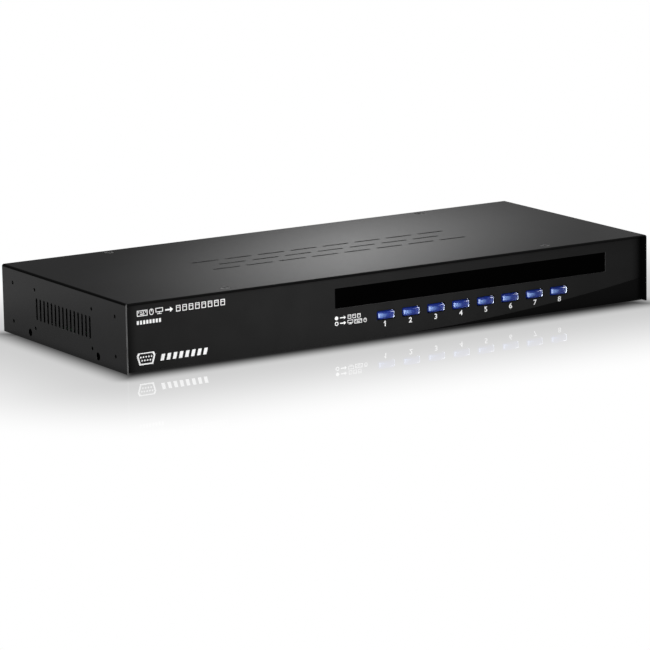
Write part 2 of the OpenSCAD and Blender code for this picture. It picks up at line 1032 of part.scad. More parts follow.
top_cover();
base_pan();
front_overlay();
display_window();
button_cap(0);  // button_cap_1
button_cap(1);  // button_cap_2
button_cap(2);  // button_cap_3
button_cap(3);  // button_cap_4
button_cap(4);  // button_cap_5
button_cap(5);  // button_cap_6
button_cap(6);  // button_cap_7
button_cap(7);  // button_cap_8
switch_plunger(0);  // switch_plunger_1
switch_plunger(1);  // switch_plunger_2
switch_plunger(2);  // switch_plunger_3
switch_plunger(3);  // switch_plunger_4
switch_plunger(4);  // switch_plunger_5
switch_plunger(5);  // switch_plunger_6
switch_plunger(6);  // switch_plunger_7
switch_plunger(7);  // switch_plunger_8
switch_housings();
switch_cover_plates();
snap_domes();
button_board();
button_board_standoffs();
button_board_screws();
light_baffle();
red_leds();
green_leds();
main_board();
main_board_standoffs();
main_board_screws();
video_port_shells();
video_port_flanges();
video_port_inserts();
jackscrews();
ps2_shield();
keyboard_socket();
mouse_socket();
usb_shell();
usb_tongues();
usb_contacts();
power_jack_housing();
power_jack_pin();
ribbon_cable();
ribbon_headers();
ribbon_plugs();
microcontroller();
video_switch_chips();
port_controllers();
voltage_regulator();
crystal();
electrolytic_capacitors();
chip_resistors();
buzzer();
cover_screws();
rubber_feet();
rating_label();
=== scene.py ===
import json
import math

import bmesh
import bpy
from mathutils import Matrix, Vector


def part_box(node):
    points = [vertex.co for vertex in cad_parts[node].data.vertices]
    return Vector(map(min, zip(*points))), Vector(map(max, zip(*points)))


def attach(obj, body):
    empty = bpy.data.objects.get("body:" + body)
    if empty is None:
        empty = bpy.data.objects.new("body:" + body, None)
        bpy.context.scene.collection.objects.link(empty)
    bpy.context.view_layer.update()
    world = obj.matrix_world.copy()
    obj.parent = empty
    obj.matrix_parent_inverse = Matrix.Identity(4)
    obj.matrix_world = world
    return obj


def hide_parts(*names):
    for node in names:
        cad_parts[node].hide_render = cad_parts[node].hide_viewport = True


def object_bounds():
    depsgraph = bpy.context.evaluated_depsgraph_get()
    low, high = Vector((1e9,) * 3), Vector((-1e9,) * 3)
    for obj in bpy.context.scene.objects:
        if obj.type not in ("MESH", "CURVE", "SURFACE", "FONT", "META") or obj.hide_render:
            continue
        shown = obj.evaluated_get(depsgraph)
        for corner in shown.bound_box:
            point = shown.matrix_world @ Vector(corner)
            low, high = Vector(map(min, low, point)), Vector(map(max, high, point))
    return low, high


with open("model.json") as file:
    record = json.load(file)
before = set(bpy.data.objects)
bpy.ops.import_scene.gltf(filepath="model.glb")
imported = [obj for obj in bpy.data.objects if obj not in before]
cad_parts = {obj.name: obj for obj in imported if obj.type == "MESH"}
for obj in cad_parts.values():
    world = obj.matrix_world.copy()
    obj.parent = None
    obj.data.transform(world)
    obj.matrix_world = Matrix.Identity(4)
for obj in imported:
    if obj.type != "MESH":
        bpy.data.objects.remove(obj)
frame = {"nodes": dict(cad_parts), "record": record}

cad_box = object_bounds()

# ---------------------------------------------------------------- sizes, in metres
MM = 0.001
CASE_LOW, CASE_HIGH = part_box("top_cover")
PANEL_LOW, PANEL_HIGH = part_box("front_overlay")
WINDOW_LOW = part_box("display_window")[0]
CASE_BOTTOM = CASE_LOW.z
PANEL_Y = PANEL_LOW.y
REAR_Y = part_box("base_pan")[1].y
SHEET = 1.0 * MM
BEND = 1.5 * MM
SKIN = 0.05 * MM
RIM = 0.14 * MM
INK_THICKNESS = 0.03 * MM
PORTS = 8

# Button caps
CROWN_WIDE = 1.5
CROWN_HIGH = 3.0
CAP_FILLET = 1.5 * MM
CAP_CORNER = 1.2 * MM
CAP_LIP = 1.5 * MM
CAP_DEPTH = 1.8 * MM
CAP_RINGS = 10
CORNER_STEPS = 8
CAP_SIDE_STEPS = 12

# Print on the panel, as places across the panel and above the case bottom
DIGIT_TOP = 10.1 * MM
DIGIT_HEIGHT = 3.4 * MM
DIGIT_WEIGHT = 0.05 * MM
DIGIT_PITCH = 19.2 * MM
DIGIT_STRETCH = 1.12
REAR_DIGIT_TOP = 26.5 * MM
PORT_PITCH = 32.5 * MM
PORT_WIDTH = 16 * MM
# The painted shadow strip along the panel's top, under the cover's overhang, and beside the left wall: its
# depth and width
SHADOW_STRIP_TOP = 1.3 * MM
SHADOW_STRIP_SIDE = 0.5 * MM
DARK_ZONE_START = -8 * MM
DARK_ZONE_END = 191 * MM
DARK_ZONE_RISE = 14.8 * MM
DARK_ZONE_STEPS = 48

# Camera
CAMERA_YAW = math.radians(31.267)
CAMERA_PITCH = math.radians(11.548)
CAMERA_ROLL = math.radians(-1.076)
CAMERA_DISTANCE = 2.5219
CAMERA_ASIDE = -0.0458
CAMERA_RISE = 0.0071
CAMERA_LENS = 220.2
SENSOR = 36.0


# ---------------------------------------------------------------- material nodes
class Recipe:
    """A procedural material: its Principled shader, and calls for the nodes that feed it."""

    def __init__(self, name, staged=False, **values):
        """A staged recipe starts with no shader: it makes its own."""
        self.material = bpy.data.materials.new(name)
        self.material.use_nodes = True
        self.tree = self.material.node_tree
        if staged:
            self.tree.nodes.clear()
        self.shader = self.tree.nodes.get("Principled BSDF")
        self.place = self.node("ShaderNodeTexCoord").outputs["Object"]
        self.set(**values)

    def set(self, **values):
        """Sets or feeds the shader's sockets, named in lower case with _ for a space."""
        for name, value in values.items():
            self.feed(self.shader.inputs[name.replace("_", " ").title().replace("Ior", "IOR")], value)

    def feed(self, socket, value):
        if isinstance(value, bpy.types.NodeSocket):
            self.tree.links.new(value, socket)
        else:
            socket.default_value = value

    def node(self, kind, inputs=(), **settings):
        made = self.tree.nodes.new(kind)
        for name, value in settings.items():
            setattr(made, name, value)
        for key, value in dict(inputs).items():
            self.feed(made.inputs[key], value)
        return made

    def math(self, operation, *values):
        return self.node("ShaderNodeMath", enumerate(values), operation=operation).outputs[0]

    def axes(self, vector=None):
        """The x, y and z of the place on the surface, or of another vector."""
        return self.node("ShaderNodeSeparateXYZ", {0: vector or self.place}).outputs

    def stretched(self, scale):
        return self.node("ShaderNodeMapping", {"Vector": self.place, "Scale": scale}).outputs[0]

    def noise(self, size, detail=3.0, stretch=None):
        """Noise whose features are about size across, from 0 to 1."""
        vector = self.stretched(stretch) if stretch else self.place
        made = self.node("ShaderNodeTexNoise", {"Vector": vector, "Scale": 1 / size, "Detail": detail})
        return made.outputs["Fac"]

    def cells(self, size):
        made = self.node("ShaderNodeTexVoronoi", {"Vector": self.place, "Scale": 1 / size})
        return made.outputs["Distance"]

    def between(self, value, low, high, first=0.0, last=1.0, smooth=False):
        """value taken from the range low..high to first..last, and held there beyond it."""
        made = self.node(
            "ShaderNodeMapRange",
            {0: value, 1: low, 2: high, 3: first, 4: last},
            interpolation_type="SMOOTHSTEP" if smooth else "LINEAR",
        )
        return made.outputs[0]

    def mixed(self, share, first, second):
        made = self.node("ShaderNodeMix", data_type="RGBA")
        for socket, value in zip(("Factor_Float", "A_Color", "B_Color"), (share, first, second)):
            self.feed(next(i for i in made.inputs if i.identifier == socket), value)
        return next(o for o in made.outputs if o.identifier == "Result_Color")

    def bump(self, height, depth, strength=1.0):
        made = self.node("ShaderNodeBump", {"Height": height, "Distance": depth, "Strength": strength})
        self.set(normal=made.outputs[0])
        return made


def grey(level, tint=(1.0, 1.0, 1.0)):
    return tuple(level * t for t in tint) + (1.0,)


# ---------------------------------------------------------------- materials
def black_paint():
    """Satin powder paint. Pale round the sheared rims of holes and slots: bare steel with a painted
    highlight. Painted shade inside, on the front cut edges and along the bends; a painted highlight on the
    left wall's front edge.
    """
    look = Recipe("black_case_paint", specular_ior_level=0.06)
    grain = look.noise(0.35 * MM, 2)
    cloud = look.noise(30 * MM, 4)
    paint = look.mixed(look.between(cloud, 0.35, 0.65), grey(0.0068), grey(0.0084, (1, 1, 1.04)))
    x, y, z = look.axes()
    from_side = look.math("SUBTRACT", CASE_HIGH.x, look.math("ABSOLUTE", x))
    from_top = look.math("SUBTRACT", CASE_HIGH.z, z)
    # painted shade: near black along the bends where the top meets the sides
    bend = look.math("LESS_THAN", look.math("MAXIMUM", from_side, from_top), BEND)
    rear_face = look.math("GREATER_THAN", y, REAR_Y - SKIN)
    outer = look.math("MAXIMUM", rear_face, look.math("LESS_THAN", z, CASE_BOTTOM + SKIN))
    deep = look.math("SUBTRACT", look.math("MINIMUM", from_side, from_top), outer)
    # painted shade: near black on every face deeper than the rim, inside the case, in holes and slots and in
    # the front recess
    inside = look.math("GREATER_THAN", deep, RIM)
    under_skin = look.math("GREATER_THAN", deep, SKIN)
    normal = look.axes(look.node("ShaderNodeNewGeometry").outputs["Normal"])
    side_wall = look.math("GREATER_THAN", from_top, from_side)
    outward = look.mixed(side_wall, look.math("ABSOLUTE", normal["Z"]), look.math("ABSOLUTE", normal["X"]))
    # pale rims of holes and slots: bare sheared steel, with a painted highlight where they catch the light
    cut = look.math("MULTIPLY", under_skin, look.math("LESS_THAN", outward, 0.5))
    # painted shade on the cover's front cut edges
    edge = look.math("LESS_THAN", y, CASE_LOW.y + SKIN)
    left = look.math("LESS_THAN", x, CASE_LOW.x + 1.05 * SHEET)
    patchy = look.between(look.noise(4 * MM, 4, (1, 1, 0.4)), 0.3, 0.7, 0.6, 1.0)
    # painted highlight along the left wall's front edge, broken up by noise
    lit_left_edge = look.math("MULTIPLY", look.math("MULTIPLY", edge, left), patchy)
    colour = look.mixed(cut, paint, grey(0.13))
    # painted shade: near black inside, on the front cut edges and along the bends
    colour = look.mixed(look.math("MAXIMUM", look.math("MAXIMUM", inside, edge), bend), colour, grey(0.0015))
    look.set(base_color=look.mixed(lit_left_edge, colour, grey(0.09)))
    look.set(roughness=look.between(grain, 0.3, 0.7, 0.12, 0.155))
    look.bump(grain, 0.012 * MM, 0.5)
    return look.material


def panel_film():
    """Matt polyester film with painted shade towards its sides, pale cut edges round the window, and painted
    shade on the cut edges round the button holes.
    """
    look = Recipe("black_panel_print", specular_ior_level=0.06)
    grain = look.noise(0.25 * MM, 2)
    place = look.axes()
    normal = look.node("ShaderNodeNewGeometry").outputs["Normal"]
    aside = look.between(look.math("ABSOLUTE", look.axes(normal)["Y"]), 0.4, 0.6, 1.0, 0.0)
    high = look.math("GREATER_THAN", place["Z"], WINDOW_LOW.z - 1 * MM)
    film = look.mixed(look.between(look.noise(20 * MM, 3), 0.35, 0.65), grey(0.0098), grey(0.0112))
    # cut edges: pale at the window's height; lower down, round the button holes, near black as painted shade
    cut = look.mixed(high, grey(0.001), grey(0.06))
    margin = look.math("SUBTRACT", PANEL_HIGH.x, look.math("ABSOLUTE", place["X"]))
    # painted shade towards the sides, where the case walls shadow the film
    shade = look.between(margin, 0.0, 9 * MM, 0.95, 0.0, smooth=True)
    face = look.mixed(shade, film, grey(0.001))
    look.set(base_color=look.mixed(aside, face, cut))
    look.set(roughness=look.between(grain, 0.3, 0.7, 0.34, 0.44))
    look.bump(grain, 0.006 * MM, 0.4)
    return look.material


def dark_ink_and_shadow():
    """Dead black ink of the panel's lower sweep, also laid as painted shadow along the panel's top and left
    side.
    """
    look = Recipe("dark_ink_and_shadow", specular_ior_level=0.05)
    grain = look.noise(0.3 * MM, 2)
    look.set(base_color=look.mixed(grain, grey(0.0012), grey(0.002)))
    look.set(roughness=look.between(grain, 0.3, 0.7, 0.3, 0.4))
    return look.material


def white_ink():
    """Screen printed white, a little uneven in its cover."""
    look = Recipe("white_ink", specular_ior_level=0.3, roughness=0.5)
    cover = look.between(look.noise(0.5 * MM, 3), 0.3, 0.7)
    look.set(base_color=look.mixed(cover, grey(0.68), grey(0.76)))
    look.bump(look.noise(0.15 * MM, 2), 0.01 * MM, 0.5)
    return look.material


def smoked_lens():
    look = Recipe("smoked_lens", specular_ior_level=0.004)
    haze = look.noise(15 * MM, 3)
    look.set(base_color=look.mixed(haze, grey(0.0002), grey(0.0004)))
    look.set(roughness=look.between(haze, 0.3, 0.7, 0.08, 0.14))
    return look.material


def blue_plastic():
    """Translucent blue cap, with swirls from its moulding and a faint grain."""
    look = Recipe("blue_button", specular_ior_level=0.22)
    swirl = look.between(look.noise(2.5 * MM, 3), 0.35, 0.65)
    look.set(base_color=look.mixed(swirl, (0.004, 0.0135, 0.12, 1), (0.007, 0.02, 0.155, 1)))
    grain = look.noise(0.3 * MM, 2)
    look.set(roughness=look.between(grain, 0.3, 0.7, 0.19, 0.24))
    return look.material


def moulded(name, dark, light, roughness=0.45, grain=0.2 * MM, depth=0.01 * MM, specular=0.4):
    """Injection moulded plastic or rubber with a fine grain and slow colour variation."""
    look = Recipe(name, specular_ior_level=specular)
    fine = look.noise(grain, 2)
    look.set(base_color=look.mixed(look.between(look.noise(6 * MM, 3), 0.35, 0.65), dark, light))
    look.set(roughness=look.between(fine, 0.3, 0.7, roughness - 0.06, roughness + 0.06))
    look.bump(fine, depth, 0.5)
    return look.material


def metal(name, colour, roughness=0.3, stretch=(1, 1, 1), grain=0.4 * MM):
    """Plated or brushed metal: fine streaks in its roughness and slight staining in its colour."""
    look = Recipe(name, metallic=1.0)
    streaks = look.noise(grain, 4, stretch)
    stain = look.between(look.noise(9 * MM, 4), 0.35, 0.75)
    darker = tuple(c * 0.72 for c in colour[:3]) + (1.0,)
    look.set(base_color=look.mixed(stain, colour, darker))
    look.set(roughness=look.between(streaks, 0.25, 0.75, roughness - 0.08, roughness + 0.12))
    look.bump(streaks, 0.004 * MM, 0.4)
    return look.material


def circuit_board():
    """Green solder mask over copper: tracks stand a little proud and paler, with tinned via dots."""
    look = Recipe("green_board", specular_ior_level=0.5, coat_weight=0.3, coat_roughness=0.2)
    tracks = look.node(
        "ShaderNodeTexBrick",
        {"Vector": look.stretched((1, 1, 1)), "Scale": 1.0, "Mortar Size": 0.18 * MM,
         "Brick Width": 5.3 * MM, "Row Height": 1.27 * MM},
        offset=0.37, squash=1.6, squash_frequency=3,
    ).outputs["Fac"]
    vias = look.between(look.cells(3.1 * MM), 0.1, 0.14, 1.0, 0.0)
    mask = look.mixed(look.noise(12 * MM, 3), (0.006, 0.055, 0.02, 1), (0.01, 0.08, 0.03, 1))
    traced = look.mixed(tracks, mask, (0.03, 0.17, 0.06, 1))
    look.set(base_color=look.mixed(vias, traced, (0.5, 0.48, 0.4, 1)))
    look.set(roughness=look.between(look.noise(1 * MM, 2), 0.3, 0.7, 0.28, 0.4))
    look.bump(tracks, 0.035 * MM, 0.7)
    return look.material


WIRE_PITCH = 1.27 * MM


def ribbon():
    """Grey flat cable, ribbed along its length by its wires, with painted shade in the grooves between them.
    """
    look = Recipe("grey_ribbon", specular_ior_level=0.4, roughness=0.5)
    rib = look.math("SINE", look.math("MULTIPLY", look.axes()["X"], 2 * math.pi / WIRE_PITCH))
    shaded_groove = look.between(rib, -1.0, -0.4, 1.0, 0.0)
    look.set(base_color=look.mixed(shaded_groove, grey(0.42, (1, 1, 0.97)), grey(0.2)))
    look.bump(rib, 0.12 * MM, 0.8)
    return look.material


def tinted(name, dark, light):
    """Clear tinted lamp body."""
    look = Recipe(name, specular_ior_level=0.5, roughness=0.15, transmission_weight=0.3)
    look.set(base_color=look.mixed(look.noise(1.5 * MM, 3), dark, light))
    return look.material


def label_film():
    """Silver grey label with a printed border line."""
    look = Recipe("label_film", specular_ior_level=0.5)
    low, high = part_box("rating_label")
    x, y = look.axes()[:2]
    inset, line = 1.5 * MM, 0.4 * MM
    across = look.math("MINIMUM", look.math("SUBTRACT", x, low.x), look.math("SUBTRACT", high.x, x))
    along = look.math("MINIMUM", look.math("SUBTRACT", y, low.y), look.math("SUBTRACT", high.y, y))
    edge = look.math("SUBTRACT", look.math("MINIMUM", across, along), inset)
    border = look.math("LESS_THAN", look.math("ABSOLUTE", edge), line)
    film = look.mixed(look.noise(5 * MM, 4), grey(0.5), grey(0.58))
    look.set(base_color=look.mixed(border, film, grey(0.03)))
    look.set(roughness=look.between(look.noise(0.6 * MM, 3), 0.3, 0.7, 0.35, 0.5))
    return look.material


STEEL = grey(0.62, (1, 1, 1.01))
MATERIALS = {
    "black_case_paint": black_paint(),
    "black_panel_print": panel_film(),
    "smoked_lens": smoked_lens(),
    "blue_button": blue_plastic(),
    "white_nylon": moulded("white_nylon", grey(0.62, (1, 0.98, 0.93)), grey(0.72), 0.4),
    "black_plastic": moulded("black_plastic", grey(0.012), grey(0.02), 0.42),
    "plated_steel": metal("plated_steel", STEEL, 0.28, (1, 1, 5)),
    "green_board": circuit_board(),
    "brass_standoff": metal("brass_standoff", (0.72, 0.53, 0.23, 1), 0.27, (1, 1, 6)),
    "gold_contact": metal("gold_contact", (0.85, 0.6, 0.2, 1), 0.22),
    "red_led": tinted("red_led", (0.3, 0.01, 0.008, 1), (0.45, 0.02, 0.015, 1)),
    "green_led": tinted("green_led", (0.05, 0.28, 0.03, 1), (0.08, 0.4, 0.05, 1)),
    "blue_insert": moulded("blue_insert", (0.01, 0.035, 0.26, 1), (0.014, 0.05, 0.34, 1), 0.38),
    "purple_insert": moulded("purple_insert", (0.13, 0.05, 0.3, 1), (0.17, 0.07, 0.37, 1), 0.38),
    "teal_insert": moulded("teal_insert", (0.02, 0.26, 0.16, 1), (0.03, 0.33, 0.2, 1), 0.38),
    "grey_ribbon": ribbon(),
    "chip_package": moulded("chip_package", grey(0.014), grey(0.024), 0.6, 0.12 * MM, 0.015 * MM),
    "capacitor_sleeve": moulded("capacitor_sleeve", grey(0.02), (0.012, 0.014, 0.045, 1), 0.3),
    "black_screw": moulded("black_screw", grey(0.004), grey(0.008), 0.5, 0.3 * MM, 0.008 * MM, 0.12),
    "black_rubber": moulded("black_rubber", grey(0.012), grey(0.022), 0.75, 0.5 * MM, 0.04 * MM, 0.25),
    "label_film": label_film(),
}
WHITE_INK = white_ink()
DARK_INK_AND_SHADOW = dark_ink_and_shadow()


def dress(thing, material):
    thing.data.materials.clear()
    thing.data.materials.append(material)


def dress_cad_nodes():
    """Gives each CAD node the material of the record's slot that it belongs to."""
    for part in frame["record"]["subparts"]:
        dress(frame["nodes"][part["node"]], MATERIALS[part["material_slot"]])


# ---------------------------------------------------------------- mesh helpers
def as_object(name, mesh, material, body="case"):
    thing = bpy.data.objects.new(name, mesh)
    bpy.context.scene.collection.objects.link(thing)
    dress(thing, material)
    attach(thing, body)
    return thing


def finished(shape, name):
    """A mesh of that bmesh, with its normals outward."""
    bmesh.ops.recalc_face_normals(shape, faces=shape.faces)
    mesh = bpy.data.meshes.new(name)
    shape.to_mesh(mesh)
    shape.free()
    return mesh


def rounded_outline(width, height, radius, side_steps=1):
    """Points round a rectangle with round corners, anticlockwise from its lower right corner."""
    points = []
    corners = [(1, -1), (1, 1), (-1, 1), (-1, -1)]
    for turn, (side, rise) in enumerate(corners):
        centre = Vector((side * (width / 2 - radius), rise * (height / 2 - radius)))
        for step in range(CORNER_STEPS + 1):
            angle = math.pi / 2 * (turn - 1 + step / CORNER_STEPS)
            last = centre + radius * Vector((math.cos(angle), math.sin(angle)))
            points.append(tuple(last))
        side, rise = corners[(turn + 1) % 4]
        following = Vector((side * (width / 2 - radius), rise * (height / 2 - radius)))
        for step in range(1, side_steps):
            points.append(tuple(last + (following - centre) * step / side_steps))
    return points


PICTOGRAM_LINE = 0.12


class InkAndShadow:
    """Flat shapes printed on a wall, or laid on it as painted shadow, drawn in millimetres across and above
    the case bottom.
    """

    def __init__(self):
        self.shapes = []

    def polygon(self, points):
        self.shapes.append(points)

    def bar(self, x0, z0, x1, z1):
        self.polygon([(x0, z0), (x1, z0), (x1, z1), (x0, z1)])

    def frame(self, x0, z0, x1, z1, line):
        self.bar(x0, z0, x1, z0 + line)
        self.bar(x0, z1 - line, x1, z1)
        self.bar(x0, z0 + line, x0 + line, z1 - line)
        self.bar(x1 - line, z0 + line, x1, z1 - line)

    def loop(self, outline, line):
        """A line round a closed outline, inside it, as one quad a side."""
        middle = Vector((sum(p[0] for p in outline), sum(p[1] for p in outline))) / len(outline)
        inner = [Vector(p) + (middle - Vector(p)).normalized() * line for p in outline]
        for i, point in enumerate(outline):
            j = (i + 1) % len(outline)
            self.polygon([point, outline[j], tuple(inner[j]), tuple(inner[i])])

    def disc(self, x, z, radius, steps=20):
        turns = [2 * math.pi * i / steps for i in range(steps)]
        self.polygon([(x + radius * math.cos(a), z + radius * math.sin(a)) for a in turns])

    def ring(self, x, z, radius, line, steps=20):
        turns = [2 * math.pi * i / steps for i in range(steps)]
        self.loop([(x + radius * math.cos(a), z + radius * math.sin(a)) for a in turns], line)

    def arrow(self, x, z, length, height):
        """An arrow to the right from x, its middle at height z."""
        head = height * 0.6
        self.bar(x, z - height * 0.14, x + length - head, z + height * 0.14)
        tip = x + length
        self.polygon([(tip - head, z - height / 2), (tip, z), (tip - head, z + height / 2)])

    def monitor(self, x, z, width, height):
        line = height * PICTOGRAM_LINE
        self.frame(x, z + height * 0.3, x + width, z + height, line)
        middle = x + width / 2
        self.bar(middle - line / 2, z + line, middle + line / 2, z + height * 0.3)
        self.bar(middle - width * 0.3, z, middle + width * 0.3, z + line)

    def tower(self, x, z, width, height):
        line = height * PICTOGRAM_LINE
        self.frame(x, z, x + width, z + height, line)
        self.bar(x + line, z + height * 0.6, x + width - line, z + height * 0.6 + line * 0.7)

    def keyboard(self, x, z, width, height):
        line = height * PICTOGRAM_LINE
        self.frame(x, z, x + width, z + height * 0.8, line * 0.9)
        key = height * 0.16
        for i in range(4):
            left = x + line * 1.6 + (width - 3.2 * line - key) * i / 3
            self.bar(left, z + height * 0.45, left + key, z + height * 0.45 + key)
        self.bar(x + width * 0.3, z + height * 0.21, x + width * 0.7, z + height * 0.21 + key * 0.8)

    def mouse(self, x, z, width, height):
        body = [(x + width / 2 + px, z + height / 2 + pz)
                for px, pz in rounded_outline(width, height, width * 0.49)]
        self.loop(body, height * PICTOGRAM_LINE)
        middle = x + width / 2
        self.bar(middle - width * 0.1, z + height * 0.55, middle + width * 0.1, z + height)

    def socket(self, x, z, width, height, line):
        """The outline of a D-shaped socket, its middle at x, z, with a row of contacts."""
        slant = height * 0.14
        top, low = width / 2, width / 2 - slant * 1.6
        outline = [(x - low, z - height / 2), (x + low, z - height / 2), (x + top, z + height * 0.25),
                   (x + top - slant, z + height / 2), (x - top + slant, z + height / 2),
                   (x - top, z + height * 0.25)]
        self.loop(outline, line)

    def build(self, name, material, wall_y, outward=-1):
        """The built piece: print, or painted shadow for the strip along the panel's top and left side. Across
        is measured to the right as one looks at the wall, outward its side.
        """
        shape = bmesh.new()
        for points in self.shapes:
            rows = []
            for y in (wall_y, wall_y + outward * INK_THICKNESS):
                places = [(-outward * px * MM, y, CASE_BOTTOM + pz * MM) for px, pz in points]
                rows.append([shape.verts.new(place) for place in places])
            back, face = rows
            shape.faces.new(face)
            shape.faces.new(list(reversed(back)))
            for i in range(len(points)):
                j = (i + 1) % len(points)
                shape.faces.new([face[i], back[i], back[j], face[j]])
        return as_object(name, finished(shape, name), material)


# ---------------------------------------------------------------- button caps
def cap_height(x, z, width, height, proud):
    """How far a cap's crown stands out at x, z from its middle."""
    wide, high = width * CROWN_WIDE, height * CROWN_HIGH
    return proud - (wide - math.sqrt(wide**2 - x**2)) - (high - math.sqrt(high**2 - z**2))


def cap_mesh(width, height, proud, depth, lip_depth):
    """A crowned cap with a filleted rim and a lip behind, its middle at the panel's face."""
    shape = bmesh.new()
    outline = rounded_outline(width, height, CAP_CORNER, CAP_SIDE_STEPS)
    inset = rounded_outline(width - 2 * CAP_FILLET, height - 2 * CAP_FILLET,
                            CAP_CORNER - CAP_FILLET / 2, CAP_SIDE_STEPS)
    middle = shape.verts.new((0, -cap_height(0, 0, width, height, proud), 0))
    rings = []
    for k in range(1, CAP_RINGS + 1):
        share = k / CAP_RINGS
        rings.append([(x * share, cap_height(x * share, z * share, width, height, proud), z * share)
                      for x, z in inset])
    for k in range(1, CORNER_STEPS + 1):
        angle = math.pi / 2 * k / CORNER_STEPS
        rings.append([
            (xi + (xo - xi) * math.sin(angle),
             cap_height(xi, zi, width, height, proud) - CAP_FILLET * (1 - math.cos(angle)),
             zi + (zo - zi) * math.sin(angle))
            for (xi, zi), (xo, zo) in zip(inset, outline)])
    rings.append([(x, -depth, z) for x, z in outline])
    lip = rounded_outline(width + 2 * CAP_LIP, height + 2 * CAP_LIP, CAP_CORNER, CAP_SIDE_STEPS)
    rings.append([(x, -depth, z) for x, z in lip])
    rings.append([(x, -depth - lip_depth, z) for x, z in lip])
    loops = [[shape.verts.new((x, -out, z)) for x, out, z in ring] for ring in rings]
    count = len(outline)
    for i in range(count):
        shape.faces.new([middle, loops[0][i], loops[0][(i + 1) % count]])
    for first, second in zip(loops, loops[1:]):
        for i in range(count):
            j = (i + 1) % count
            shape.faces.new([first[i], second[i], second[j], first[j]])
    shape.faces.new(loops[-1])
    mesh = finished(shape, "button_cap_shape")
    mesh.shade_smooth()
    return mesh


def make_buttons():
    """One crowned cap for each button, in place of its plain CAD solid."""
    low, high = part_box("button_cap_1")
    width = high.x - low.x - 2 * CAP_LIP
    height = high.z - low.z - 2 * CAP_LIP
    proud = PANEL_Y - low.y
    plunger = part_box("switch_plunger_1")[0].y - PANEL_Y
    mesh = cap_mesh(width, height, proud, CAP_DEPTH, plunger - CAP_DEPTH)
    caps = []
    for i in range(1, PORTS + 1):
        low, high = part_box(f"button_cap_{i}")
        cap = bpy.data.objects.new(f"crowned_cap_{i}", mesh)
        bpy.context.scene.collection.objects.link(cap)
        cap.location = ((low.x + high.x) / 2, PANEL_Y, (low.z + high.z) / 2)
        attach(cap, f"button_{i}")
        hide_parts(f"button_cap_{i}")
        caps.append(cap)
    mesh.materials.append(MATERIALS["blue_button"])
    return caps


# ---------------------------------------------------------------- print and painted shadow
def print_digit(name, digit, x, top, wall_y, facing=0.0):
    """A white digit DIGIT_HEIGHT tall, centred on x below top. facing turns it round the upright axis."""
    curve = bpy.data.curves.new(name, "FONT")
    curve.body = digit
    curve.size = DIGIT_HEIGHT
    curve.offset = DIGIT_WEIGHT
    curve.extrude = INK_THICKNESS / 2
    text = bpy.data.objects.new(name + "_text", curve)
    bpy.context.scene.collection.objects.link(text)
    bpy.context.view_layer.update()
    mesh = bpy.data.meshes.new_from_object(text.evaluated_get(bpy.context.evaluated_depsgraph_get()))
    bpy.data.objects.remove(text)
    across = [v.co.x for v in mesh.vertices]
    rise = [v.co.y for v in mesh.vertices]
    size = DIGIT_HEIGHT / (max(rise) - min(rise))
    middle = Vector(((max(across) + min(across)) / 2, max(rise), 0))
    mesh.transform(
        Matrix.Translation((x, wall_y, CASE_BOTTOM + top))
        @ Matrix.Rotation(facing, 4, "Z")
        @ Matrix.Rotation(math.pi / 2, 4, "X")
        @ Matrix.Diagonal((size * DIGIT_STRETCH, size, 1, 1))
        @ Matrix.Translation(-middle)
    )
    return as_object(name, mesh, WHITE_INK)


def print_figure_one(name, x, top, wall_y, outward):
    """The figure one, with the flag that the font's own figure lacks."""
    one = InkAndShadow()
    across, high = -outward * x / MM, top / MM
    low = high - DIGIT_HEIGHT / MM
    flag = [(-0.1, high - 1.0), (-0.85, high - 1.35), (-0.85, high - 0.8), (0.05, high), (0.52, high)]
    one.polygon([(across + px, pz) for px, pz in [(0.52, low), (-0.1, low), *flag]])
    one.build(name, WHITE_INK, wall_y, outward)


def print_digits():
    """The numbers under the buttons, and the same over the computer ports behind."""
    middle = sum(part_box(f"button_cap_{i}")[0].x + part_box(f"button_cap_{i}")[1].x for i in (1, PORTS)) / 4
    last_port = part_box("video_port_shells")[1].x - PORT_WIDTH / 2
    for i in range(PORTS):
        x = middle + (i - (PORTS - 1) / 2) * DIGIT_PITCH
        port_x = last_port - (PORTS - 1 - i) * PORT_PITCH
        if i == 0:
            print_figure_one("print_digit_1", x, DIGIT_TOP, PANEL_Y, -1)
            print_figure_one("print_rear_digit_1", port_x, REAR_DIGIT_TOP, REAR_Y, 1)
            continue
        print_digit(f"print_digit_{i + 1}", str(i + 1), x, DIGIT_TOP, PANEL_Y - INK_THICKNESS / 2)
        print_digit(f"print_rear_digit_{i + 1}", str(i + 1), port_x, REAR_DIGIT_TOP,
                    REAR_Y + INK_THICKNESS / 2, math.pi)


def print_dark_zone():
    """The darker sweep along the foot of the panel: a parabola that rises to the right."""
    start, end, rise = DARK_ZONE_START / MM, DARK_ZONE_END / MM, DARK_ZONE_RISE / MM
    edge = PANEL_HIGH.x / MM
    sweep = InkAndShadow()

    def height(x):
        return rise * ((x - start) / (end - start)) ** 2

    stops = [start + (edge - start) * i / DARK_ZONE_STEPS for i in range(DARK_ZONE_STEPS + 1)]
    foot = (PANEL_LOW.z - CASE_BOTTOM) / MM
    points = [(x, max(height(x), foot + 0.01)) for x in stops]
    sweep.polygon([(stops[-1], foot), *reversed(points), (stops[0], foot)])
    sweep.build("print_dark_sweep", DARK_INK_AND_SHADOW, PANEL_Y)


def print_dark_border():
    """A dead black strip along the panel's top and left side: painted shadow under the cover's overhang and
    beside the left wall.
    """
    side, top = PANEL_HIGH.x / MM, (PANEL_HIGH.z - CASE_BOTTOM) / MM
    foot, across, down = (PANEL_LOW.z - CASE_BOTTOM) / MM, SHADOW_STRIP_SIDE / MM, SHADOW_STRIP_TOP / MM
    border = InkAndShadow()
    border.bar(-side, top - down, side, top)
    border.bar(-side, foot, across - side, top - down)
    border.build("print_dark_border", DARK_INK_AND_SHADOW, PANEL_Y)


